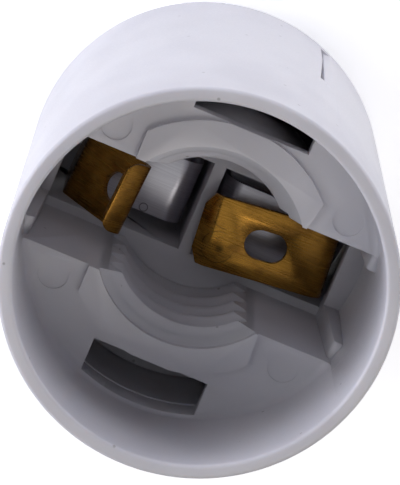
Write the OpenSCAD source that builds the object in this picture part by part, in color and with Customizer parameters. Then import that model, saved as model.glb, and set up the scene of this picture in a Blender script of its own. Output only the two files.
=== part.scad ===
// Screw lamp holder, small Edison screw (E14), plain casing with push-in terminals.
// Origin at the centre of the rear face, +Z out of the mouth, +X along the contact slot.

/* [Casing] */
// Outside diameter of the casing
casing_d = 28; // [27.6:0.1:30]
// Length of the casing from the rear face to the rim
casing_l = 37; // [36:0.1:44]
// Wall of the skirt
skirt_wall = 1.05; // [0.9:0.05:1.15]
// Wall of the casing below the shelf
casing_wall = 1.4; // [1.35:0.05:1.5]
// Round on the rim's two edges
rim_round = 0.3; // [0.2:0.05:0.4]
// Chamfer on the casing's rear edge
rear_chamfer = 0.5; // [0.3:0.05:0.7]

/* [Shelf and windows] */
// Height of the shelf above the rear face
shelf_h = 25.5; // [24.5:0.1:26.5]
// Thickness of the shelf
shelf_t = 1.3; // [1:0.1:2]
// Fillet between the shelf and the skirt
shelf_fillet = 0.6; // [0.5:0.1:0.8]
// Width of each window in the shelf
window_w = 9; // [8:0.1:9.5]
// Distance from the axis to the inner edge of a window
window_inner = 9.35; // [9.2:0.05:9.8]
// Height of the snap arms' tops, which close the windows
arm_top_h = 16.4; // [15:0.1:18]
// Ejector mark diameter
ejector_d = 2.3; // [2:0.1:2.6]
// Ejector mark depth
ejector_depth = 0.12; // [0.08:0.01:0.2]
// Distance from the skirt's bore to the middle of an ejector mark
ejector_in = 2.05; // [1.8:0.05:2.3]
// Angle between the slot and an ejector mark
ejector_angle = 33.4; // [31:0.1:35]

/* [Screw thread] */
// Major diameter of the thread in the holder
thread_major_d = 14; // [13.98:0.01:14.1]
// Minor diameter of the thread in the holder
thread_minor_d = 12.4; // [12.38:0.01:12.5]
// Pitch of the thread
thread_pitch = 2.822; // [2.8:0.001:2.85]
// Height of a crest on the -Y side below the top of the thread, as a share of the pitch
thread_phase = 0.35; // [0:0.05:0.95]
// Diameter of the plain mouth above the thread
mouth_d = 15.1; // [14.8:0.1:15.4]
// Depth of the plain mouth below the collar
mouth_depth = 0.6; // [0.4:0.1:1.2]
// Height of the floor of the thread
floor_h = 13; // [12.8:0.1:13.4]
// Thickness of that floor
floor_t = 1.2; // [1:0.1:1.6]
// Outside diameter of the collar around the mouth
collar_d = 18.95; // [18.5:0.05:19.2]
// Height of the collar above the shelf
collar_h = 0.45; // [0.3:0.05:0.7]
// Distance from the axis, along the slot, at which the collar's straight ends start
collar_end = 6.6; // [6:0.05:6.8]
// Distance from the axis at which its splayed ends start
collar_splay_end = 6.4; // [6:0.05:6.8]
// Splay of those ends
collar_splay = 24; // [0:1:30]

/* [Slot and chambers] */
// Width of the slot across the middle
slot_w = 8.7; // [8.4:0.1:9]
// Width of the contact chambers
chamber_w = 7.3; // [7:0.1:7.6]
// Thickness of the walls beside the slot and the chambers
inner_wall = 1.15; // [1:0.05:1.4]
// Thickness of the rib between the two chambers
rib_t = 0.95; // [0.8:0.05:1.1]
// Thickness of the slot's end walls, out to the casing's bore
end_wall_t = 1.25; // [1:0.05:1.4]
// Height of the ledge on the end walls
ledge_h = 14.5; // [14.2:0.1:15.5]
// Height of the end walls below that ledge
ledge_t = 2.2; // [1.6:0.1:3]
// Height of the tips of the corner pillars
pillar_h = 24.4; // [23:0.1:24.8]
// Distance from the slot's centre line to the pillars
pillar_inner = 2.95; // [2.5:0.05:3.2]
// Round on a pillar's tip
pillar_round = 0.5; // [0.3:0.1:0.7]
// Lean of a pillar's inner face away from the slot
pillar_lean = 0.55; // [0.3:0.05:0.7]

/* [Outer slits] */
// Position of a slit along the slot's direction
slit_x = 3.95; // [3.6:0.05:4.2]
// Width of a slit at its wide end
slit_w = 0.55; // [0.4:0.05:0.7]
// Width of the flat beside a slit
slit_flat_w = 0.9; // [0.6:0.1:1.2]
// Lean of a slit over its length
slit_lean = 0.75; // [0.4:0.05:1]
// Width of a slit at its narrow end
slit_end_w = 0.1; // [0.05:0.05:0.2]

/* [Contacts] */
// Width of the brass strip
strip_w = 5.65; // [5.4:0.05:5.8]
// Thickness of the brass strip
strip_t = 0.42; // [0.35:0.01:0.5]
// Inside radius of a plain bend
bend_r = 0.5; // [0.4:0.1:0.8]
// Length of the oblong hole in the centre contact
eye_l = 3.3; // [3:0.1:3.6]
// Width of that hole, and diameter of the side contact's round hole
eye_w = 2.3; // [2:0.1:2.4]
// Place of the centre contact's hole, as a share of the way from the fold to the root
centre_eye_place = 0.45; // [0.4:0.01:0.5]
// Place of the side contact's hole, as a share of the way from the fold to the root
side_eye_place = 0.34; // [0.3:0.01:0.4]
// Length of the cut on the corners of the centre contact's end
end_cut_l = 0.5; // [0.4:0.05:0.7]
// Width of that cut
end_cut_w = 0.9; // [0.7:0.05:1.1]
// Height of the lower end of a contact's leg
leg_foot = 6.6; // [6:0.1:7.4]
// Gap between the centre contact's leg and the end wall
leg_gap = 0.6; // [0.5:0.05:0.8]
// Gap between the side contact's leg and the end wall
side_leg_gap = 1.1; // [1:0.05:1.2]
// Height of the centre contact's fold
centre_tip_h = 14.7; // [14.6:0.1:15.4]
// Distance from the axis to the centre contact's fold
centre_tip_x = 1.25; // [1:0.05:1.5]
// Height of the centre contact's root
centre_root_h = 14.2; // [13.9:0.1:14.4]
// Drop of the centre contact's bent lip
centre_lip_drop = 0.6; // [0.5:0.05:0.65]
// Reach of the centre contact's bent lip
centre_lip_reach = 1.1; // [0.9:0.05:1.2]
// Turn of the centre contact about the vertical, as it is seated
centre_turn = 5.5; // [0:0.5:6]
// Height of the side contact's fold
side_fold_h = 18.4; // [18:0.1:18.6]
// Distance from the axis to the side contact's fold
side_fold_x = 5.2; // [5.1:0.05:5.5]
// Height of the side contact's root
side_root_h = 13.7; // [13.4:0.1:13.9]
// Rise of the side contact's lip above its fold
side_lip_rise = 1.1; // [0.9:0.05:1.2]
// Reach of that lip away from the axis
side_lip_reach = 1.75; // [1.6:0.05:1.8]
// Round on the corners of that lip
side_lip_round = 1; // [0.8:0.1:1.2]
// Turn of the side contact about the vertical, as it is seated
side_turn = -3; // [-5:0.5:0]

/* [Clamp springs] */
// Width of the clamp spring
clamp_w = 5.1; // [4.8:0.1:5.4]
// Thickness of the clamp spring
clamp_t = 0.3; // [0.25:0.01:0.35]
// Height of the spring's flat top
clamp_top_h = 10.6; // [10:0.1:11]
// Inside radius of the spring's round shoulder
clamp_round = 1.5; // [1.2:0.1:1.8]
// Gap between the spring's edge and the contact's leg
clamp_gap = 1.2; // [1:0.1:1.4]
// Gap between the spring and the rib
clamp_rib_gap = 0.5; // [0.35:0.05:0.7]
// Height of the spring's foot above the rear face
clamp_foot = 2.3; // [2.3:0.1:3]
// Length of the spring's foot along the slot
clamp_foot_l = 5; // [4:0.1:6]

/* [Rear cover] */
// Thickness of the cover plate
cover_t = 1.8; // [1.5:0.1:2.2]
// Diameter of a wire entry
entry_d = 3; // [2.6:0.1:3.2]
// Diameter of a wire entry's funnel at the rear face
funnel_d = 4.2; // [3.6:0.1:4.4]
// Distance from an end wall to the middle of its wire entry
entry_in = 2.05; // [1.85:0.05:2.3]
// Radial thickness of a snap arm's back
arm_t = 1.2; // [1:0.1:1.4]
// Thickness of a snap arm's closing top
arm_top_t = 1; // [0.8:0.1:1.4]
// Height of the barb on a snap arm
barb_h = 1.6; // [1.2:0.1:2]
// Reach of the barb on a snap arm
barb_out = 0.35; // [0.25:0.05:0.4]
// Distance from a window's side to the groove for the barb
groove_in = 1; // [0.8:0.1:1.4]
// Clearance between the cover's pieces and the housing
fit_gap = 0.1; // [0.06:0.01:0.12]

/* [Hidden] */
$fn = 96;
eps = 0.01;

plastic_colour = [0.80, 0.79, 0.78];
brass_colour = [0.72, 0.52, 0.24];
steel_colour = [0.72, 0.71, 0.73];

casing_r = casing_d / 2;
bore_r = casing_r - skirt_wall;
low_bore_r = casing_r - casing_wall;
wall_mid_r = casing_r - skirt_wall / 2;
mouth_r = mouth_d / 2;
major_r = thread_major_d / 2;
minor_r = thread_minor_d / 2;
tube_r = window_inner - fit_gap;
collar_r = collar_d / 2;
slot_half = slot_w / 2;
chamber_half = chamber_w / 2;
window_half = window_w / 2;
arm_half = window_half - fit_gap;

end_wall_x = low_bore_r - end_wall_t;
leg_x = end_wall_x - leg_gap;
side_leg_x = end_wall_x - side_leg_gap;
entry_x = end_wall_x - entry_in;
thread_top = shelf_h + collar_h - mouth_depth;
skirt_foot = shelf_h + shelf_fillet;

// Points of a round corner of inside radius r at b, between the directions to a and c
function unit(v) = v / norm(v);
function round_corner(a, b, c, r, steps = 6) =
    let (to_a = unit(a - b), to_c = unit(c - b),
         half = acos(to_a * to_c) / 2,
         centre = b + unit(to_a + to_c) * r / sin(half),
         start = b + to_a * r / tan(half) - centre,
         end = b + to_c * r / tan(half) - centre,
         sweep = 180 - 2 * half)
    [for (i = [0:steps]) let (t = i / steps * sweep)
        centre + (start * sin(sweep - t) + end * sin(t)) / sin(sweep)];

// Centre line through points p, with every inner corner rounded to the radius in r
function bent_line(p, r) = concat(
    [p[0]],
    [for (i = [1:len(p) - 2]) each round_corner(p[i - 1], p[i], p[i + 1], r[i - 1])],
    [p[len(p) - 1]]);

// Direction across the line at point i
function across(p, i) =
    let (d = unit(p[min(i + 1, len(p) - 1)] - p[max(i - 1, 0)]))
    [-d[1], d[0]];

// Outline of a strip of thickness t along the centre line p
function strip_outline(p, t) = concat(
    [for (i = [0:len(p) - 1]) p[i] + across(p, i) * t / 2],
    [for (i = [len(p) - 1:-1:0]) p[i] - across(p, i) * t / 2]);

// A strip of width w bent along the centre line p, which lies in the XZ plane
module bent_strip(p, t, w) {
    rotate([90, 0, 0])
        linear_extrude(w, center = true)
            polygon(strip_outline(p, t));
}

// Both halves of a part that is the same after half a turn
module half_turn_pair() {
    children();
    rotate([0, 0, 180]) children();
}

// Four copies, mirrored along the slot and across it
module four_corners() {
    for (sx = [0, 1], sy = [0, 1])
        mirror([sx, 0, 0]) mirror([0, sy, 0]) children();
}

// Outer shell: a thin skirt with a rounded rim on a thicker casing with a chamfered rear edge
rim_mid = rim_round * (1 - cos(45));

module shell() {
    rotate_extrude()
        polygon([
            [low_bore_r, 0],
            [casing_r - rear_chamfer, 0],
            [casing_r, rear_chamfer],
            [casing_r, casing_l - rim_round],
            [casing_r - rim_mid, casing_l - rim_mid],
            [casing_r - rim_round, casing_l],
            [bore_r + rim_round, casing_l],
            [bore_r + rim_mid, casing_l - rim_mid],
            [bore_r, casing_l - rim_round],
            [bore_r, skirt_foot],
            [low_bore_r, skirt_foot]
        ]);
}

// The thread is interrupted by the slot, so each side holds short arcs of the helix. An arc
// is a ridge of revolution whose axis leans by the helix's lead angle, within 0.05 mm of it.
ridge_steps = 6;
lead_angle = atan(thread_pitch / (PI * (major_r + minor_r)));
thread_back_r = (mouth_r + tube_r) / 2;
thread_low = floor_h - floor_t / 2;
thread_turns = ceil((thread_top - floor_h) / thread_pitch) + 1;

function ridge_line(low) = [
    for (i = [0:thread_turns * ridge_steps])
        [(major_r + minor_r) / 2 - (major_r - minor_r) / 2 * cos(360 * i / ridge_steps),
         low + i * thread_pitch / ridge_steps]];

// Arcs on the +Y side, with the first crest at the given height
module thread_arcs(low) {
    intersection() {
        rotate([0, lead_angle, 0])
            rotate_extrude()
                polygon(concat(
                    ridge_line(low),
                    [[thread_back_r, low + thread_turns * thread_pitch], [thread_back_r, low]]));
        translate([-casing_r, slot_half - inner_wall / 2, floor_h - floor_t / 2])
            cube([casing_d, casing_r, thread_top - floor_h + floor_t / 2]);
    }
}

// Arcs on both sides, half a pitch apart, as one helix gives
module thread() {
    low = thread_top - (thread_turns + thread_phase) * thread_pitch;
    thread_arcs(low + thread_pitch / 2);
    rotate([0, 0, 180]) thread_arcs(low + thread_pitch);
}

// Outline between the two ends of the collar, on the +Y side
module collar_half() {
    polygon([
        [-collar_end, 0],
        [collar_splay_end, 0],
        [collar_splay_end, slot_half],
        [collar_splay_end + (casing_r - slot_half) * tan(collar_splay), casing_r],
        [-collar_end, casing_r]
    ]);
}

// Solid inside the shell, before the slot and the chambers are cut
module inner_body() {
    intersection() {
        union() {
            // Shelf, with a fillet up to the skirt
            translate([0, 0, shelf_h - shelf_t])
                cylinder(r = wall_mid_r, h = shelf_t);
            rotate_extrude()
                polygon(concat(
                    [[wall_mid_r, shelf_h - eps]],
                    [for (a = [0:15:90])
                        [bore_r - shelf_fillet * (1 - sin(a)), shelf_h + shelf_fillet * (1 - cos(a))]],
                    [[wall_mid_r, skirt_foot]]));
            // Tube around the thread
            translate([0, 0, floor_h - floor_t])
                cylinder(r = tube_r, h = shelf_h - floor_h + floor_t);
            // Walls beside the slot
            translate([-casing_r, -slot_half - inner_wall, floor_h - floor_t])
                cube([casing_d, slot_w + 2 * inner_wall, shelf_h - floor_h + floor_t]);
            // Walls of the contact chambers
            translate([-casing_r, -chamber_half - inner_wall, cover_t + fit_gap])
                cube([casing_d, chamber_w + 2 * inner_wall, floor_h - cover_t - fit_gap]);
            // Collar
            intersection() {
                translate([0, 0, shelf_h - eps])
                    cylinder(r = collar_r, h = collar_h + eps);
                translate([0, 0, shelf_h - eps])
                    linear_extrude(collar_h + eps)
                        half_turn_pair() collar_half();
            }
        }
        cylinder(r = wall_mid_r, h = casing_l);
    }
}

// Everything that is cut out of the inner body and the thread
module inner_cuts() {
    // Lead-in cone at the mouth of the thread
    translate([0, 0, thread_top - mouth_r + minor_r])
        cylinder(r1 = minor_r, r2 = mouth_r + eps, h = mouth_r - minor_r + eps);
    // Slot down to the floor, as far as the end walls
    translate([-casing_r, -slot_half, floor_h])
        cube([casing_d, slot_w, casing_l]);
    // Chambers
    for (side = [-1, 1])
        translate([side > 0 ? rib_t / 2 : -casing_r, -chamber_half, -eps])
            cube([casing_r - rib_t / 2, chamber_w, floor_h + 2 * eps]);
    // Windows, down to the tops of the snap arms
    for (side = [-1, 1])
        translate([-window_half, side > 0 ? window_inner : -casing_r, arm_top_h])
            cube([window_w, casing_r - window_inner, casing_l]);
    // Ejector marks
    four_corners()
        rotate([0, 0, ejector_angle])
            translate([bore_r - ejector_in, 0, shelf_h - ejector_depth])
                cylinder(d = ejector_d, h = collar_h);
}

// Outline of a corner pillar in the XZ plane: it leans back and has a round tip
pillar_outline = concat(
    [[end_wall_x, ledge_h - eps]],
    round_corner([end_wall_x, ledge_h], [end_wall_x + pillar_lean, pillar_h],
                 [casing_r, pillar_h], pillar_round),
    [[casing_r, pillar_h], [casing_r, ledge_h - eps]]);

// End walls of the slot, with a ledge between two corner pillars
module end_walls() {
    intersection() {
        for (side = [0, 180]) rotate([0, 0, side]) {
            translate([end_wall_x, -slot_half - eps, ledge_h - ledge_t])
                cube([casing_r, slot_w + 2 * eps, ledge_t]);
            for (m = [0, 1]) mirror([0, m, 0]) {
                translate([0, slot_half + eps, 0])
                    rotate([90, 0, 0])
                        linear_extrude(slot_half - pillar_inner + eps)
                            polygon(pillar_outline);
            }
        }
        cylinder(r = wall_mid_r, h = casing_l);
    }
}

// Wedge-shaped slit and the flat beside it, at the corner of a snap arm
module outer_slit() {
    flat_end = slit_x + slit_w + slit_flat_w;
    flat_y = sqrt(casing_r * casing_r - flat_end * flat_end);
    translate([0, casing_r + casing_wall, 0])
        rotate([90, 0, 0])
            linear_extrude(3 * casing_wall)
                polygon([
                    [slit_x, arm_top_h],
                    [slit_x + slit_w, arm_top_h],
                    [slit_x + slit_lean + slit_end_w, cover_t],
                    [slit_x + slit_lean, cover_t]
                ]);
    translate([slit_x + slit_w - eps, flat_y, cover_t])
        cube([slit_flat_w + eps, casing_r, arm_top_h - cover_t]);
}

module housing() {
    color(plastic_colour)
        difference() {
            union() {
                shell();
                difference() {
                    union() {
                        difference() {
                            inner_body();
                            translate([0, 0, floor_h])
                                cylinder(r = mouth_r, h = casing_l);
                        }
                        thread();
                    }
                    inner_cuts();
                }
                end_walls();
            }
            half_turn_pair() outer_slit();
            // Groove that the barbs of the snap arms catch in
            for (side = [0, 1])
                mirror([0, side, 0])
                    translate([0, 0, arm_top_h - arm_top_t - barb_h - fit_gap])
                        intersection() {
                            cylinder(r = low_bore_r + barb_out + fit_gap, h = barb_h + 2 * fit_gap);
                            translate([groove_in - window_half, 0, 0])
                                cube([window_w - 2 * groove_in, casing_r, barb_h + 2 * fit_gap]);
                        }
        }
}

// One snap arm of the cover, on the +Y side
module snap_arm() {
    outer_r = low_bore_r - fit_gap;
    intersection() {
        union() {
            difference() {
                cylinder(r = outer_r, h = arm_top_h);
                cylinder(r = outer_r - arm_t, h = arm_top_h - arm_top_t);
            }
            translate([0, 0, arm_top_h - arm_top_t - barb_h])
                cylinder(r1 = outer_r + barb_out, r2 = outer_r, h = barb_h);
        }
        difference() {
            translate([-arm_half, window_inner + fit_gap, 0])
                cube([2 * arm_half, casing_r, arm_top_h]);
            translate([0, 0, -eps])
                cylinder(r = outer_r - arm_t, h = arm_top_h - arm_top_t + eps);
        }
    }
}

module rear_cover() {
    color(plastic_colour)
        difference() {
            union() {
                cylinder(r = low_bore_r - fit_gap, h = cover_t);
                half_turn_pair() snap_arm();
            }
            for (side = [-1, 1])
                translate([side * entry_x, 0, 0]) {
                    translate([0, 0, -eps])
                        cylinder(d = entry_d, h = cover_t + 2 * eps);
                    translate([0, 0, -eps])
                        cylinder(d1 = funnel_d, d2 = entry_d, h = (funnel_d - entry_d) / 2);
                }
        }
}

// Oblong hole through a leaf, centred at c in the XZ plane, with the leaf at the given slope
module eye(c, slope) {
    translate([c[0], 0, c[1]])
        rotate([0, -slope, 0])
            linear_extrude(4 * strip_t, center = true) {
                square([eye_l - eye_w, eye_w], center = true);
                for (side = [-1, 1])
                    translate([side * (eye_l - eye_w) / 2, 0])
                        circle(d = eye_w);
            }
}

// Cuts the two corners of the centre contact's end, which lies at distance x along the slot
module cut_corners(x) {
    edge_y = strip_w / 2;
    for (m = [0, 1])
        mirror([0, m, 0])
            linear_extrude(casing_l)
                polygon([
                    [x - end_cut_l, edge_y - 2 * end_cut_w],
                    [x + end_cut_l, edge_y],
                    [x + end_cut_l, edge_y + end_cut_w],
                    [x - end_cut_l, edge_y + end_cut_w]
                ]);
}

// Rounds the two corners of the side contact's lip, whose end lies at distance x along the slot
module round_lip(x) {
    for (m = [0, 1])
        mirror([0, m, 0])
            translate([x, strip_w / 2, side_fold_h])
                difference() {
                    translate([-side_lip_round, -side_lip_round, 0])
                        cube([2 * side_lip_round, 2 * side_lip_round, casing_l]);
                    translate([side_lip_round, -side_lip_round, -eps])
                        cylinder(r = side_lip_round, h = casing_l + 2 * eps);
                }
}

module centre_contact() {
    tip = [centre_tip_x, centre_tip_h];
    root = [leg_x - strip_t / 2, centre_root_h];
    lip = tip - [centre_lip_reach, centre_lip_drop];
    foot = [root[0], leg_foot];
    line = bent_line([lip, tip, root, foot], [bend_r, bend_r + strip_t]);
    slope = atan2(root[1] - tip[1], root[0] - tip[0]);
    color(brass_colour)
        translate([root[0], 0, 0]) rotate([0, 0, centre_turn]) translate([-root[0], 0, 0])
            difference() {
                bent_strip(line, strip_t, strip_w);
                eye(tip + (root - tip) * centre_eye_place, slope);
                cut_corners(lip[0]);
            }
}

module side_contact() {
    fold = [-side_fold_x, side_fold_h];
    root = [-side_leg_x + strip_t / 2, side_root_h];
    lip = fold + [-side_lip_reach, side_lip_rise];
    foot = [root[0], leg_foot];
    line = bent_line([lip, fold, root, foot], [bend_r, bend_r + strip_t]);
    eye_at = fold + (root - fold) * side_eye_place;
    color(brass_colour)
        translate([root[0], 0, 0]) rotate([0, 0, side_turn]) translate([-root[0], 0, 0])
            difference() {
                bent_strip(line, strip_t, strip_w);
                translate([eye_at[0], 0, eye_at[1]])
                    rotate([0, -atan2(fold[1] - root[1], fold[0] - root[0]), 0])
                        cylinder(d = eye_w, h = 3 * strip_t, center = true);
                round_lip(lip[0]);
            }
}

// Clamp spring on the +X side: flat top with a free edge, round shoulder, leg and foot
module clamp_spring() {
    edge_x = leg_x - strip_t - clamp_gap;
    leg_line_x = rib_t / 2 + clamp_rib_gap + clamp_t / 2;
    top = clamp_top_h - clamp_t / 2;
    foot_z = clamp_foot + clamp_t / 2;
    line = bent_line(
        [[edge_x, top], [leg_line_x, top], [leg_line_x, foot_z], [leg_line_x + clamp_foot_l, foot_z]],
        [clamp_round, bend_r + clamp_t]);
    color(steel_colour)
        bent_strip(line, clamp_t, clamp_w);
}

module centre_clamp() { clamp_spring(); }
module side_clamp() { rotate([0, 0, 180]) clamp_spring(); }

housing();
rear_cover();
centre_contact();
side_contact();
centre_clamp();
side_clamp();
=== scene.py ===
import math

import bmesh
import bpy
from mathutils import Matrix, Vector


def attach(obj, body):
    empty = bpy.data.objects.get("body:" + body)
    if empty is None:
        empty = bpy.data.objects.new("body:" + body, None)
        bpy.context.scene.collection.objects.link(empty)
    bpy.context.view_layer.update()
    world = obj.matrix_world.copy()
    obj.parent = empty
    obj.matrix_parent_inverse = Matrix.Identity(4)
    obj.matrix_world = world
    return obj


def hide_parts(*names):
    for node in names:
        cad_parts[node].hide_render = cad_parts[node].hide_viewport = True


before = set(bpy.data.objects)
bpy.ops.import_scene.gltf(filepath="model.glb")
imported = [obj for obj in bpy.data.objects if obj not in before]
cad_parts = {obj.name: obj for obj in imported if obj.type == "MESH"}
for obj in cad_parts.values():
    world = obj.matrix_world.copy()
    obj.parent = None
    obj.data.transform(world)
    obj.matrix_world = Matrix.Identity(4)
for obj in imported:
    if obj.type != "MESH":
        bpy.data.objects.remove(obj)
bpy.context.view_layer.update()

# Casing
# One moulding in pale grey thermoplastic: a tube whose upper third is an open skirt, with
# a shelf below it that carries a low collar round the threaded well. Sizes in millimetres.
MM = 0.001
CASING_R, CASING_L, SKIRT_R, BORE_R = 14.0, 37.0, 12.95, 12.6
SHELF_Z, SHELF_T, FILLET = 25.5, 1.3, 0.6
TUBE_R, FLOOR_Z, FLOOR_T, WALL_T = 9.25, 13.0, 1.2, 1.15
SLOT_HALF, CHAMBER_HALF, RIB_HALF = 4.35, 3.65, 0.475
COVER_T = 1.8
GAP = 0.1
EPS = 0.01


def settle(name=None):
    """Puts the active object's place into its mesh and names it."""
    bpy.ops.object.transform_apply(location=True, rotation=True, scale=True)
    piece = bpy.context.object
    if name:
        piece.name = piece.data.name = name
    return piece


def rod(r, low, high, top_r=None, sides=192, at=(0, 0)):
    """A round bar or cone along the axis, between two heights."""
    bpy.ops.object.select_all(action="DESELECT")
    bpy.ops.mesh.primitive_cone_add(
        vertices=sides, radius1=r * MM, radius2=(r if top_r is None else top_r) * MM,
        depth=(high - low) * MM, location=(at[0] * MM, at[1] * MM, (low + high) / 2 * MM))
    return settle()


def block(low, high):
    """A box between two corners."""
    bpy.ops.object.select_all(action="DESELECT")
    bpy.ops.mesh.primitive_cube_add(
        size=MM, location=[(a + b) / 2 * MM for a, b in zip(low, high)],
        scale=[b - a for a, b in zip(low, high)])
    return settle()


def apply_modifier(piece, kind, **settings):
    """Adds one modifier to a piece and applies it."""
    bpy.context.view_layer.objects.active = piece
    modifier = piece.modifiers.new(kind.title(), kind)
    for key, value in settings.items():
        setattr(modifier, key, value)
    bpy.ops.object.modifier_apply(modifier=modifier.name)


def combine(piece, other, operation="DIFFERENCE", keep=False):
    """Cuts, joins or crosses a piece with another one, which is used up unless it's kept."""
    apply_modifier(piece, "BOOLEAN", operation=operation, solver="EXACT", object=other)
    if not keep:
        bpy.data.objects.remove(other)
    return piece


def turned(piece, degrees):
    """Turns a piece about the axis."""
    piece.data.transform(Matrix.Rotation(math.radians(degrees), 4, "Z"))
    return piece


def twin(piece, degrees=180):
    """A copy of a piece with its own mesh, turned about the axis."""
    copy = piece.copy()
    copy.data = piece.data.copy()
    bpy.context.scene.collection.objects.link(copy)
    return turned(copy, degrees)


def turn_to(r, degrees):
    """The point at a radius and an angle about the axis."""
    return r * math.cos(math.radians(degrees)), r * math.sin(math.radians(degrees))


def edit(piece, mode="EDGE"):
    """Opens one piece in edit mode with nothing selected."""
    bpy.ops.object.select_all(action="DESELECT")
    piece.select_set(True)
    bpy.context.view_layer.objects.active = piece
    bpy.ops.object.mode_set(mode="EDIT")
    bpy.ops.mesh.select_mode(type=mode)
    bpy.ops.mesh.select_all(action="DESELECT")


def pick(kind, test):
    """Selects the edges or faces of the mesh in edit mode whose middle, in mm, passes the test."""
    mesh = bmesh.from_edit_mesh(bpy.context.object.data)
    for item in getattr(mesh, kind):
        middle = sum((v.co for v in item.verts), Vector()) / len(item.verts) / MM
        item.select_set(bool(test(middle, item)))
    bmesh.update_edit_mesh(bpy.context.object.data)


def done():
    bpy.ops.object.mode_set(mode="OBJECT")


def ring_edge(r, z):
    """A test for the edges of a circle of radius r at height z."""
    return lambda p, edge: (abs(p.z - z) < 0.02 and abs(p.xy.length - r) < 0.02
                            and all(abs(v.co.z / MM - z) < 0.02 for v in edge.verts))


casing = rod(CASING_R, 0, CASING_L, sides=288)
settle("casing")
edit(casing, "FACE")
pick("faces", lambda p, face: face.normal.z > 0.9)
bpy.ops.mesh.inset(thickness=(CASING_R - SKIRT_R) * MM)
bpy.ops.mesh.extrude_region_move(
    TRANSFORM_OT_translate={"value": (0, 0, (SHELF_Z - CASING_L) * MM)})
bpy.ops.mesh.select_mode(type="EDGE")
pick("edges", ring_edge(SKIRT_R, SHELF_Z))
bpy.ops.mesh.bevel(offset=FILLET * MM, segments=6, affect="EDGES")
pick("edges", lambda p, e: ring_edge(CASING_R, CASING_L)(p, e) or ring_edge(SKIRT_R, CASING_L)(p, e))
bpy.ops.mesh.bevel(offset=0.3 * MM, segments=5, affect="EDGES")
pick("edges", ring_edge(CASING_R, 0))
bpy.ops.mesh.bevel(offset=0.5 * MM, segments=2, affect="EDGES")
done()

# Collar: a low step round the mouth of the well, cut off along the slot with ends that
# splay a little.
COLLAR_R, COLLAR_H, MOUTH_R, MINOR_R, MAJOR_R = 9.475, 0.45, 7.55, 6.2, 7.0
collar = rod(COLLAR_R, SHELF_Z - 0.2, SHELF_Z + COLLAR_H, sides=240)
for side, corner_xs, far_xs in ((0, (6.5, -6.9), (7.6, -6.9)), (180, (6.95, -6.4), (6.95, -6.7))):
    for corner, far in zip(((x, SLOT_HALF) for x in corner_xs), ((x, 10) for x in far_xs)):
        out = 1 if corner[0] > 0 else -1
        trim = block((-6, -6, SHELF_Z - 1), (6, 6, SHELF_Z + 1))
        for v in trim.data.vertices:
            high_y, high_x = v.co.y > 0, v.co.x * out > 0
            x = (far[0] if high_y else corner[0])
            v.co.x = (x if not high_x else out * 14) * MM
            v.co.y = (10 if high_y else 0) * MM
            if not high_y and not high_x:
                v.co.x = (corner[0] - (far[0] - corner[0]) / (10 - SLOT_HALF) * SLOT_HALF) * MM
        edit(trim, "FACE")
        bpy.ops.mesh.select_all(action="SELECT")
        bpy.ops.mesh.normals_make_consistent(inside=False)
        done()
        combine(collar, turned(trim, side))
combine(casing, collar, "UNION")

# Hollow behind the shelf: the well is a tube, with walls along the slot and the chambers,
# and nothing between it and the casing.
hollow = rod(BORE_R, -1, SHELF_Z - SHELF_T)
combine(hollow, rod(TUBE_R, FLOOR_Z - FLOOR_T, SHELF_Z))
wall_y = SLOT_HALF + WALL_T
combine(hollow, block((-14, -wall_y, FLOOR_Z - FLOOR_T), (14, wall_y, SHELF_Z)))
wall_y = CHAMBER_HALF + WALL_T
combine(hollow, block((-14, -wall_y, COVER_T + GAP), (14, wall_y, FLOOR_Z)))
combine(casing, hollow)

# Well, slot, chambers and windows, as the mould's cores leave them.
mouth_z = SHELF_Z + COLLAR_H - 0.6
mouth = rod(MINOR_R, mouth_z - (MOUTH_R - MINOR_R), mouth_z, top_r=MOUTH_R)
combine(mouth, rod(MOUTH_R, mouth_z - EPS, SHELF_Z + 2), "UNION")
slot = block((-14, -SLOT_HALF, FLOOR_Z), (14, SLOT_HALF, SHELF_Z + 2))
combine(slot, rod(SKIRT_R, FLOOR_Z - 1, SHELF_Z + 3, sides=288), "INTERSECT")
combine(casing, rod(MAJOR_R, FLOOR_Z, SHELF_Z + 2))
combine(casing, mouth, keep=True)
combine(casing, slot, keep=True)
for side in (-1, 1):
    low_x, high_x = sorted((side * RIB_HALF, side * 13))
    chamber = block((low_x, -CHAMBER_HALF, -1), (high_x, CHAMBER_HALF, FLOOR_Z + EPS))
    combine(chamber, rod(BORE_R + 0.001, -2, FLOOR_Z + 1, sides=288), "INTERSECT")
    combine(casing, chamber)
    low_y, high_y = sorted((side * 9.35, side * 14))
    window = block((-4.5, low_y, SHELF_Z - SHELF_T - 1), (4.5, high_y, SHELF_Z + 2))
    combine(window, rod(BORE_R + 0.1, FLOOR_Z, SHELF_Z + 3, sides=288), "INTERSECT")
    combine(casing, window)
    for angle in (33.4, -33.4):
        at = turn_to(10.9, angle if side > 0 else 180 - angle)
        combine(casing, rod(1.15, SHELF_Z - 0.12, SHELF_Z + 0.3, sides=64, at=at))

# Slits: a narrow wedge through the wall beside each snap arm, with a shallow flat next to it.
for side in (0, 180):
    slit = block((3.95, 12, COVER_T), (4.5, 15, 16.4))
    for v in slit.data.vertices:
        if v.co.z < 5 * MM:
            v.co.x = (4.7 if v.co.x < 4.2 * MM else 4.8) * MM
    combine(casing, turned(slit, side))
    combine(casing, turned(block((4.45, 12.94, COVER_T), (5.4, 15, 16.4)), side))

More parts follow.
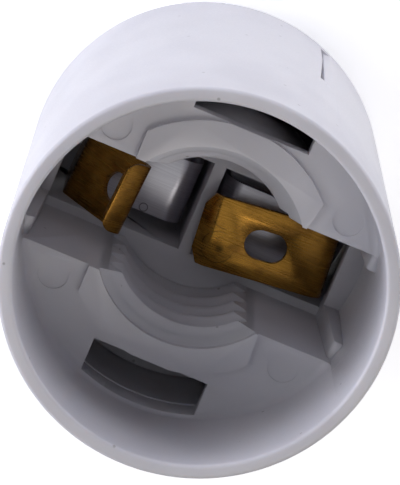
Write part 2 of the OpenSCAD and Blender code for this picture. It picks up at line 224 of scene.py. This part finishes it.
# End walls of the slot: a ledge between two posts whose tips are rounded.
END_X, LEDGE_Z, POST_Z, POST_Y = 11.35, 14.5, 24.4, 2.95
ends = []
for side in (0, 180):
    wall = block((END_X, -SLOT_HALF - 0.1, LEDGE_Z - 2.2), (13.2, SLOT_HALF + 0.1, LEDGE_Z))
    ends.append(turned(wall, side))
    for y in (-1, 1):
        low_y, high_y = sorted((y * POST_Y, y * (SLOT_HALF + 0.1)))
        post = block((END_X, low_y, LEDGE_Z - 0.01), (13.2, high_y, POST_Z))
        for v in post.data.vertices:
            if v.co.z > 20 * MM and v.co.x < 12 * MM:
                v.co.x += 0.55 * MM
        edit(post)
        pick("edges", lambda p, e: p.z > POST_Z - 0.01 and p.x < 12)
        bpy.ops.mesh.bevel(offset=0.5 * MM, segments=6, affect="EDGES")
        done()
        ends.append(turned(post, side))
for piece in ends:
    combine(piece, rod(SKIRT_R + 0.3, 0, CASING_L, sides=96), "INTERSECT")

# Thread: rounded ridges of a right-hand screw, 2.822 mm apart, on the two sides of the well.
PITCH, TURNS, STEPS = 2.822, 6, 14
bpy.ops.object.select_all(action="DESELECT")
bpy.ops.mesh.primitive_circle_add(vertices=STEPS + 3, radius=MM, fill_type="NOTHING")
thread = settle("thread")
mean, half = (MAJOR_R + MINOR_R) / 2, (MAJOR_R - MINOR_R) / 2
first = 22.2455 - 4.5 * PITCH
profile = [(mean + half * math.cos(2 * math.pi * i / STEPS), (0.02 + 0.96 * i / STEPS) * PITCH)
           for i in range(STEPS + 1)]
profile += [(MAJOR_R + 0.5, 0.98 * PITCH), (MAJOR_R + 0.5, 0.02 * PITCH)]
for v, (x, z) in zip(thread.data.vertices, profile):
    v.co = (x * MM, 0, (z + first) * MM)
apply_modifier(thread, "SCREW", axis="Z", angle=2 * math.pi, screw_offset=PITCH * MM,
               iterations=TURNS, steps=144, render_steps=144)
edit(thread)
bpy.ops.mesh.select_non_manifold()
bpy.ops.mesh.fill_holes(sides=0)
bpy.ops.mesh.select_all(action="SELECT")
bpy.ops.mesh.normals_make_consistent(inside=False)
done()
combine(thread, rod(MAJOR_R + 1, FLOOR_Z - 0.6, mouth_z - 0.55), "INTERSECT")
combine(thread, mouth)
bpy.data.objects.remove(slot)
combine(thread, block((-14, -SLOT_HALF - 0.002, FLOOR_Z - 2), (14, SLOT_HALF + 0.002, SHELF_Z + 2)))

apply_modifier(casing, "BEVEL", width=0.05 * MM, segments=2, angle_limit=math.radians(50),
               use_clamp_overlap=True)
for piece in ends:
    apply_modifier(piece, "BEVEL", width=0.08 * MM, segments=2, angle_limit=math.radians(50))
bpy.ops.object.select_all(action="DESELECT")
for piece in ends + [thread, casing]:
    piece.select_set(True)
bpy.context.view_layer.objects.active = casing
bpy.ops.object.join()
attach(casing, "holder")
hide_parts("housing")


def smooth(piece, degrees=32):
    """Smooth shading that keeps edges sharper than the angle."""
    bpy.ops.object.select_all(action="DESELECT")
    piece.select_set(True)
    bpy.context.view_layer.objects.active = piece
    bpy.ops.object.shade_smooth_by_angle(angle=math.radians(degrees))


smooth(casing)


def colour(hex_code):
    """A linear colour from an sRGB hex code."""
    parts = [int(hex_code[i:i + 2], 16) / 255 for i in (0, 2, 4)]
    return [c / 12.92 if c <= 0.04045 else ((c + 0.055) / 1.055) ** 2.4 for c in parts] + [1]


def add(tree, kind, inputs=(), **settings):
    """Adds one node. An input is a value, or the socket that it's linked to."""
    node = tree.nodes.new(kind)
    for key, value in settings.items():
        setattr(node, key, value)
    for key, value in dict(inputs).items():
        if isinstance(value, bpy.types.NodeSocket):
            tree.links.new(value, node.inputs[key])
        else:
            node.inputs[key].default_value = value
    return node


def new_material(name, roughness, metallic=0):
    """A material with its tree, its shader and the object coordinates for its patterns."""
    material = bpy.data.materials.new(name)
    material.use_nodes = True
    tree = material.node_tree
    shader = tree.nodes["Principled BSDF"]
    shader.inputs["Roughness"].default_value = roughness
    shader.inputs["Metallic"].default_value = metallic
    return material, tree, shader, add(tree, "ShaderNodeTexCoord").outputs["Object"]


def grain(tree, place, sizes, detail=3):
    """Noise whose cells have the given sizes in mm along the three axes."""
    spread = add(tree, "ShaderNodeMapping", {"Vector": place, "Scale": [1000 / d for d in sizes]})
    noise = add(tree, "ShaderNodeTexNoise",
                {"Vector": spread.outputs[0], "Scale": 1, "Detail": detail, "Roughness": 0.55})
    return noise.outputs["Fac"]


def span(tree, value, low, high, to_low, to_high):
    """Maps a value from one range to another, with soft ends."""
    return add(tree, "ShaderNodeMapRange", {
        "Value": value, "From Min": low, "From Max": high, "To Min": to_low, "To Max": to_high},
        interpolation_type="SMOOTHSTEP").outputs["Result"]


def blend(tree, factor, first, second):
    """Mixes two colours by a factor."""
    mix = add(tree, "ShaderNodeMix", {0: factor, 6: first, 7: second}, data_type="RGBA")
    return mix.outputs[2]


def relief(tree, shader, height, depth, strength=1):
    """Raises the surface by a pattern, with its depth in mm."""
    bump = add(tree, "ShaderNodeBump",
               {"Height": height, "Distance": depth * MM, "Strength": strength})
    tree.links.new(bump.outputs[0], shader.inputs["Normal"])


# Satin moulded thermoplastic: a cool pale grey with slow flow shading from the mould, a fine
# spark-eroded grain that softens its highlights, and a few dark specks in the moulding.
plastic, tree, shader, place = new_material("satin moulded thermoplastic", 0.38)
flow = span(tree, grain(tree, place, (9, 9, 14), 2), 0.35, 0.65, 0, 1)
body = blend(tree, flow, colour("D5D4DA"), colour("DEDDE2"))
speck = add(tree, "ShaderNodeTexVoronoi", {"Vector": place, "Scale": 1000 / 2.6, "Randomness": 1})
fleck = span(tree, speck.outputs["Distance"], 0.03, 0.06, 0.45, 0)
tree.links.new(blend(tree, fleck, body, colour("6E6A66")), shader.inputs["Base Color"])
skin = grain(tree, place, (0.16, 0.16, 0.16), 4)
tree.links.new(span(tree, skin, 0.3, 0.7, 0.32, 0.46), shader.inputs["Roughness"])
relief(tree, shader, skin, 0.006, 0.5)
shader.inputs["Subsurface Weight"].default_value = 0.35
shader.inputs["Subsurface Radius"].default_value = (1, 0.85, 0.75)
shader.inputs["Subsurface Scale"].default_value = 0.9 * MM
casing.data.materials.append(plastic)

# Rear cover: a flat disc that closes the casing, held by two snap arms whose tops close the
# windows. Each wire entry has a funnel on the rear face.
COVER_R, ARM_TOP, ENTRY_X = 12.5, 16.4, 9.3
cover = rod(COVER_R, 0, COVER_T, sides=288)
settle("cover")
for side in (0, 180):
    arm = rod(COVER_R, 0, ARM_TOP, sides=288)
    combine(arm, rod(COVER_R - 1.2, -1, ARM_TOP - 1, sides=288))
    combine(arm, block((-4.4, 9.45, 0.5), (4.4, 14, ARM_TOP)), "INTERSECT")
    combine(cover, turned(arm, side), "UNION")
    combine(cover, rod(1.5, -1, COVER_T + 1, sides=64, at=turn_to(ENTRY_X, side)))
    combine(cover, rod(2.16, -0.06, 0.6, top_r=1.5, sides=64, at=turn_to(ENTRY_X, side)))
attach(cover, "holder")
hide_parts("rear_cover")
smooth(cover)
cover.data.materials.append(plastic)


# Contacts: strips of half-hard brass, blanked, pierced with an oblong hole and bent. The
# centre contact's fold meets the lamp's tip, and the side contact's crest presses its cap.
def bent_line(points, radii, steps=10):
    """Points along a line whose inner corners are rounded."""
    line = [Vector(points[0])]
    for a, b, c, r in zip(points, points[1:], points[2:], radii):
        a, b, c = Vector(a), Vector(b), Vector(c)
        to_a, to_c = (a - b).normalized(), (c - b).normalized()
        half = to_a.angle(to_c) / 2
        middle = b + (to_a + to_c).normalized() * r / math.sin(half)
        start, end = b + to_a * r / math.tan(half) - middle, b + to_c * r / math.tan(half) - middle
        sweep = math.pi - 2 * half
        for i in range(steps + 1):
            t = sweep * i / steps
            line.append(middle + (start * math.sin(sweep - t) + end * math.sin(t)) / math.sin(sweep))
    return line + [Vector(points[-1])]


def strip(name, line, width, thickness):
    """A strip of sheet bent along a line in the XZ plane, made by drawing out its first edge."""
    bpy.ops.object.select_all(action="DESELECT")
    bpy.ops.mesh.primitive_plane_add(size=MM)
    sheet = settle(name)
    for v in sheet.data.vertices:
        x, z = line[0] if v.co.x < 0 else line[1]
        v.co = (x * MM, math.copysign(width / 2 * MM, v.co.y), z * MM)
    edit(sheet)
    at = Vector((line[1][0], 0, line[1][1]))
    pick("edges", lambda p, e: (p - at).length < 0.001)
    for a, b in zip(line[1:], line[2:]):
        bpy.ops.mesh.extrude_region_move(
            TRANSFORM_OT_translate={"value": ((b - a)[0] * MM, 0, (b - a)[1] * MM)})
    done()
    apply_modifier(sheet, "SOLIDIFY", thickness=thickness * MM, offset=0, use_even_offset=True)
    return sheet


def oblong(at, slope, length, width):
    """A cutter for an oblong hole at a place in the XZ plane, square to a leaf of that slope."""
    gap = (length - width) / 2
    cutter = rod(width / 2, -1, 1, sides=48, at=(gap, 0))
    combine(cutter, rod(width / 2, -1, 1, sides=48, at=(-gap, 0)), "UNION")
    combine(cutter, block((-gap, -width / 2, -1), (gap, width / 2, 1)), "UNION")
    cutter.data.transform(Matrix.Translation((at[0] * MM, 0, at[1] * MM))
                          @ Matrix.Rotation(-slope, 4, "Y"))
    return cutter


def seat(piece, x, degrees):
    """Turns a contact a little about its leg, as it sits in its chamber."""
    place = Matrix.Translation((x * MM, 0, 0))
    piece.data.transform(place @ Matrix.Rotation(math.radians(degrees), 4, "Z") @ place.inverted())


BRASS_T, BRASS_W, LEG_X, FOOT_Z = 0.42, 5.65, 10.75, 6.6
tip, root = Vector((1.25, 14.7)), Vector((LEG_X - BRASS_T / 2, 14.2))
lip = tip - Vector((1.1, 0.6))
centre_contact = strip("centre_contact_leaf", bent_line(
    [lip, tip, root, (root[0], FOOT_Z)], [0.5, 0.5 + BRASS_T]), BRASS_W, BRASS_T)
slope = math.atan2(root[1] - tip[1], root[0] - tip[0])
combine(centre_contact, oblong(tip + (root - tip) * 0.45, slope, 3.3, 2.3))
for y in (-1, 1):
    corner = block((-0.5, -1.8, 0), (0.5, 1.8, 30))
    for v in corner.data.vertices:
        v.co.x += lip[0] * MM
        if v.co.x < lip[0] * MM and v.co.y * y < 0:
            v.co.y = -y * 1.8 * MM
        elif v.co.y * y < 0:
            v.co.y = 0
        v.co.y += y * BRASS_W / 2 * MM
    combine(centre_contact, corner)
seat(centre_contact, root[0], 5.5)
apply_modifier(centre_contact, "BEVEL", width=0.06 * MM, segments=2, angle_limit=math.radians(40))
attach(centre_contact, "centre_leaf")
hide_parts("centre_contact")
smooth(centre_contact)

fold, root = Vector((-5.2, 18.4)), Vector((-10.25 + BRASS_T / 2, 13.7))
lip = fold + Vector((-1.75, 1.1))
side_contact = strip("side_contact_leaf", bent_line(
    [lip, fold, root, (root[0], FOOT_Z)], [0.5, 0.5 + BRASS_T]), BRASS_W, BRASS_T)
slope = math.atan2(fold[1] - root[1], fold[0] - root[0])
combine(side_contact, oblong(fold + (root - fold) * 0.34, slope, 2.32, 2.3))
for y in (-1, 1):
    low_y, high_y = sorted((y * (BRASS_W / 2 - 1), y * (BRASS_W / 2 + 1)))
    corner = block((lip[0] - 1, low_y, fold[1]), (lip[0] + 1, high_y, 30))
    at = (lip[0] + 1, y * (BRASS_W / 2 - 1))
    combine(corner, rod(1, fold[1] - 1, 31, sides=64, at=at))
    combine(side_contact, corner)
seat(side_contact, root[0], -3)
apply_modifier(side_contact, "BEVEL", width=0.06 * MM, segments=2, angle_limit=math.radians(40))
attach(side_contact, "side_leaf")
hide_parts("side_contact")
smooth(side_contact)


def ring_mark(tree, place, x, y, r, width):
    """A ring seen from above, at a place in mm: 1 on its line and 0 away from it."""
    flat = add(tree, "ShaderNodeVectorMath", {0: place, 1: (1, 1, 0)}, operation="MULTIPLY")
    away = add(tree, "ShaderNodeVectorMath", {0: flat.outputs[0], 1: (x * MM, y * MM, 0)},
               operation="DISTANCE")
    off = add(tree, "ShaderNodeMath", {0: away.outputs["Value"], 1: r * MM}, operation="SUBTRACT")
    size = add(tree, "ShaderNodeMath", {0: off.outputs[0]}, operation="ABSOLUTE")
    return span(tree, size.outputs[0], 0, width * MM, 1, 0)


# Rolled brass, lightly tarnished: golden where it's bright, olive brown in broad faint clouds,
# with rolling streaks along the strip, two round witness marks near the centre fold, and painted
# shade that darkens each leaf towards its root by the wall.
brass, tree, shader, place = new_material("rolled brass", 0.24, 1)
streak = grain(tree, place, (5, 0.09, 2.5), 4)
cloud = span(tree, grain(tree, place, (1.6, 1.2, 1.6), 4), 0.4, 0.68, 0, 1)
metal = blend(tree, cloud, colour("C8933F"), colour("A47634"))
metal = blend(tree, span(tree, streak, 0.35, 0.65, 0, 0.16), metal, colour("704C20"))
# Painted shade: the brass darkens with distance from the axis, towards the leaf roots deep in the slot.
along = add(tree, "ShaderNodeSeparateXYZ", {0: place}).outputs[0]
far = add(tree, "ShaderNodeMath", {0: along}, operation="ABSOLUTE").outputs[0]
metal = blend(tree, span(tree, far, 3 * MM, 10 * MM, 0, 0.5), metal, colour("4E3418"))
spot = ring_mark(tree, place, 2.25, -2.01, 0, 0.5)
metal = blend(tree, span(tree, spot, 0, 1, 0, 0.75), metal, colour("4A3A1E"))
rings = [ring_mark(tree, place, *at) for at in ((1.85, 0.9, 1.3, 0.09), (2.07, -1.89, 1.23, 0.09))]
both = add(tree, "ShaderNodeMath", {0: rings[0], 1: rings[1]}, operation="MAXIMUM").outputs[0]
broken = add(tree, "ShaderNodeMath", {
    0: both, 1: span(tree, grain(tree, place, (0.9, 0.9, 0.9), 1), 0.42, 0.55, 0, 1)},
    operation="MULTIPLY").outputs[0]
metal = blend(tree, span(tree, broken, 0, 1, 0, 0.55), metal, colour("4E3C20"))
tree.links.new(metal, shader.inputs["Base Color"])
tree.links.new(span(tree, streak, 0.3, 0.7, 0.18, 0.32), shader.inputs["Roughness"])
height = add(tree, "ShaderNodeMath", {0: streak, 1: broken}, operation="SUBTRACT").outputs[0]
relief(tree, shader, height, 0.002, 0.5)
for piece in (centre_contact, side_contact):
    piece.data.materials.append(brass)

# Clamp springs: polished stainless strip that grips the bared wire against a contact's leg.
STEEL_T, STEEL_W, CLAMP_Z = 0.3, 5.1, 10.6
edge_x, leg_x = LEG_X - BRASS_T - 1.2, RIB_HALF + 0.5 + STEEL_T / 2
top_z, foot_z = CLAMP_Z - STEEL_T / 2, 2.3 + STEEL_T / 2
spring_line = bent_line([(edge_x, top_z), (leg_x, top_z), (leg_x, foot_z), (leg_x + 5, foot_z)],
                        [1.5, 0.5 + STEEL_T])
centre_clamp = strip("centre_clamp_spring", spring_line, STEEL_W, STEEL_T)
side_clamp = twin(centre_clamp)
side_clamp.name = "side_clamp_spring"
for clamp, body, node in ((centre_clamp, "centre_wire_spring", "centre_clamp"),
                          (side_clamp, "side_wire_spring", "side_clamp")):
    apply_modifier(clamp, "BEVEL", width=0.04 * MM, segments=2, angle_limit=math.radians(40))
    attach(clamp, body)
    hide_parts(node)
    smooth(clamp)

# Polished spring steel: mirror-bright with faint rolling lines, and one small punched ring.
steel, tree, shader, place = new_material("polished stainless spring steel", 0.2, 1)
lines = grain(tree, place, (6, 0.06, 3), 4)
punch = ring_mark(tree, place, -4.06, -2.18, 0.32, 0.08)
metal = blend(tree, span(tree, lines, 0.3, 0.7, 0, 1), colour("E2E1E8"), colour("D2D0D8"))
metal = blend(tree, span(tree, punch, 0, 1, 0, 0.7), metal, colour("4A484C"))
tree.links.new(metal, shader.inputs["Base Color"])
tree.links.new(span(tree, lines, 0.3, 0.7, 0.28, 0.34), shader.inputs["Roughness"])
relief(tree, shader, lines, 0.0008, 0.4)
for piece in (centre_clamp, side_clamp):
    piece.data.materials.append(steel)

# Studio: a white paper sweep. Low softboxes all round the upper half light the casing's outside
# more than the shelf and the well, and one under the picture reaches down to the shelf.
floor = block((-400, -400, -1), (400, 400, 0))
floor.name = "floor"
sweep, tree, shader, place = new_material("white paper sweep", 0.9)
shader.inputs["Base Color"].default_value = colour("F8F8FA")
shader.inputs["Emission Color"].default_value = (1, 1, 1, 1)
rays = add(tree, "ShaderNodeLightPath").outputs
seen = add(tree, "ShaderNodeMath", {0: rays["Is Camera Ray"], 1: rays["Is Glossy Ray"]}, operation="MAXIMUM")
seen = add(tree, "ShaderNodeMath", {0: seen.outputs[0], 1: rays["Is Transmission Ray"]}, operation="MAXIMUM")
glow = add(tree, "ShaderNodeMath", {0: seen.outputs[0], 1: 0.5}, operation="MULTIPLY")
tree.links.new(glow.outputs[0], shader.inputs["Emission Strength"])
floor.data.materials.append(sweep)

camera_data = bpy.data.cameras.new("camera")
camera = bpy.data.objects.new("camera", camera_data)
bpy.context.scene.collection.objects.link(camera)
bpy.context.scene.camera = camera
camera_data.lens, camera_data.sensor_width = 231.1, 36
back = Vector((-0.0815, 0.2191, 0.9723))
right = Vector((0.9209, 0.3896, -0.0106))
up = back.cross(right)
turn = Matrix((right, up, back)).transposed().to_4x4()
camera.matrix_world = Matrix.Translation(Vector((-0.14, 0.19, 25.0)) * MM + back * 226.61 * MM) @ turn
camera_data.clip_start = 0.01

LAMPS = (
    ("left softbox", 180, 22, 0.64, "F1F2FF"),
    ("upper left softbox", 158, 8, 0.8, "F1F2FF"),
    ("upper softbox", 90, 8, 0.7, "F1F2FF"),
    ("right softbox", 30, 8, 0.95, "F6F6FF"),
    ("lower softbox", 290, 52, 0.46, "FFFAF4"),
    ("high left softbox", 165, 42, 0.25, "FFFFFF"),
    ("overhead softbox", 0, 88, 0.07, "FFFFFF"),
)
for name, clock, rise, power, tint in LAMPS:
    lamp = bpy.data.objects.new(name, bpy.data.lights.new(name, "AREA"))
    lamp.data.energy, lamp.data.size, lamp.data.color = power, 0.24, colour(tint)[:3]
    side, ahead = turn_to(0.42 * math.cos(math.radians(rise)), clock)
    lamp.location = (side * 0.921 - ahead * 0.392, side * 0.39 + ahead * 0.92,
                     0.42 * math.sin(math.radians(rise)))
    lamp.rotation_euler = (Vector((0, 0, 0.02)) - lamp.location).to_track_quat("-Z", "Y").to_euler()
    bpy.context.scene.collection.objects.link(lamp)

world = bpy.data.worlds.new("studio")
bpy.context.scene.world = world
world.use_nodes = True
tree = world.node_tree
ray = add(tree, "ShaderNodeLightPath").outputs["Is Camera Ray"]
sky = add(tree, "ShaderNodeBackground", {"Color": colour("F4F6FF"), "Strength": 0.04})
white = add(tree, "ShaderNodeBackground", {"Color": colour("FFFFFF"), "Strength": 1})
mix = add(tree, "ShaderNodeMixShader", {0: ray, 1: sky.outputs[0], 2: white.outputs[0]})
tree.links.new(mix.outputs[0], tree.nodes["World Output"].inputs["Surface"])
bpy.context.scene.view_settings.view_transform = "Standard"
